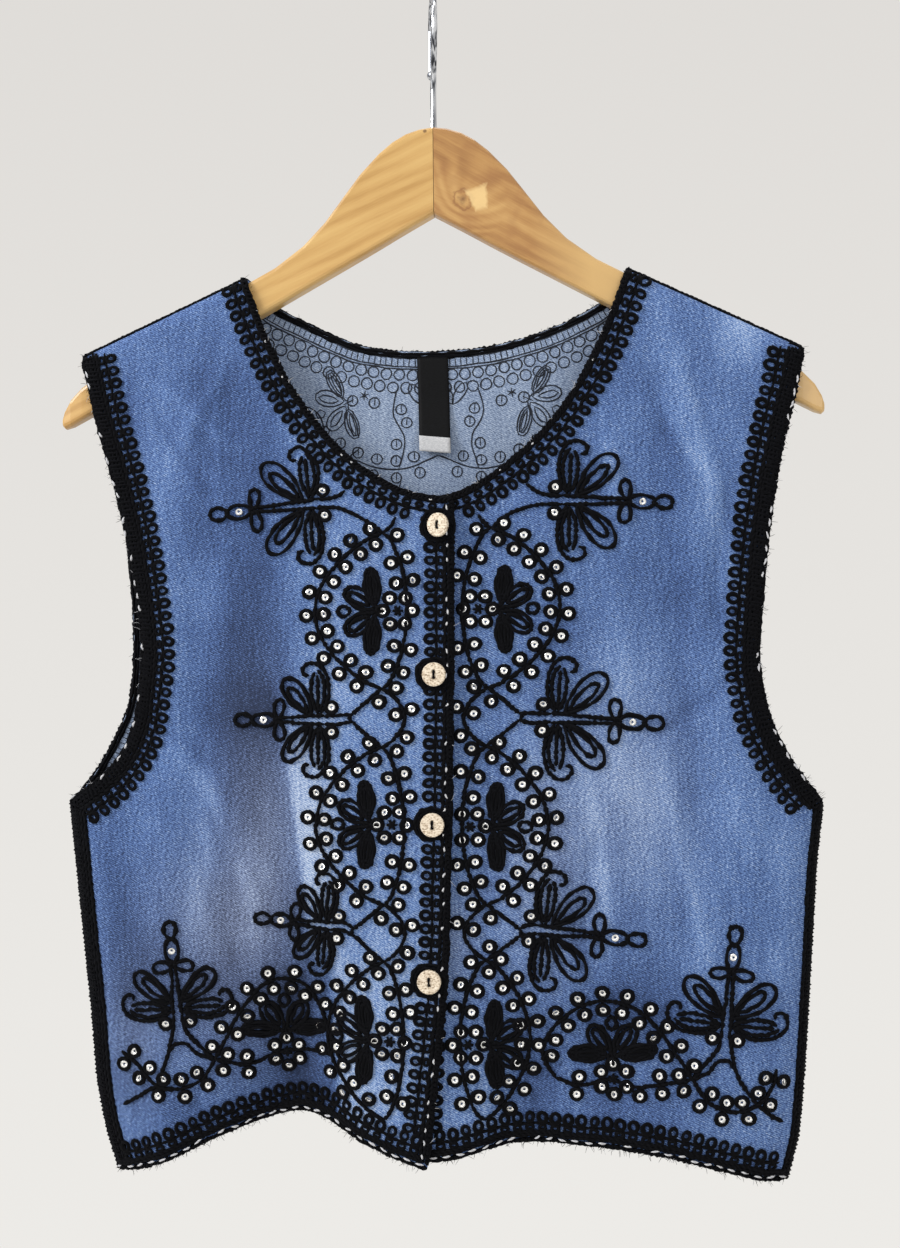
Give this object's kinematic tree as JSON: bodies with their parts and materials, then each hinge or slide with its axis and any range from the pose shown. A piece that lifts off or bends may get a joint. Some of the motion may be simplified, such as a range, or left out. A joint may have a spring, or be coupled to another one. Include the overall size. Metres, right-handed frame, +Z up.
{
  "type": "embroidered vest on a wooden hanger",
  "caption": "Short sleeveless denim vest with black cord embroidery, sequins and looped cord trims, buttoned at the front, hanging on a wooden hanger.",
  "frame": {"origin": "inside of the hook's top, where it rests on the rail", "axes": "+X to the viewer's right across the vest, +Y from the front to the back, +Z up"},
  "size_m": [0.4468, 0.0674, 0.6879],
  "materials": {
    "denim": "washed mid blue twill, faded in patches",
    "cord": "black woolly cord with white glints",
    "button_shell": "pale coconut shell, satin",
    "label_cloth": "black woven satin, bare",
    "wood": "clear lacquered beech",
    "wire": "polished"
  },
  "bodies": {
    "root": {"front_left": "denim", "front_right": "denim", "back": "denim", "trim_neck_left": "cord", "trim_neck_right": "cord", "trim_neck_back": "cord", "trim_armhole_front_left": "cord", "trim_armhole_front_right": "cord", "trim_armhole_back_left": "cord", "trim_armhole_back_right": "cord", "trim_hem_front_left": "cord", "trim_hem_front_right": "cord", "trim_hem_back": "cord", "trim_side_left": "cord", "trim_side_right": "cord", "trim_shoulder_left": "cord", "trim_shoulder_right": "cord", "button_1": "button_shell", "button_2": "button_shell", "button_3": "button_shell", "button_4": "button_shell", "neck_label": "label_cloth", "hanger_arm_left": "wood", "hanger_arm_right": "wood", "hanger_hook": "wire"}
  },
  "joints": []
}
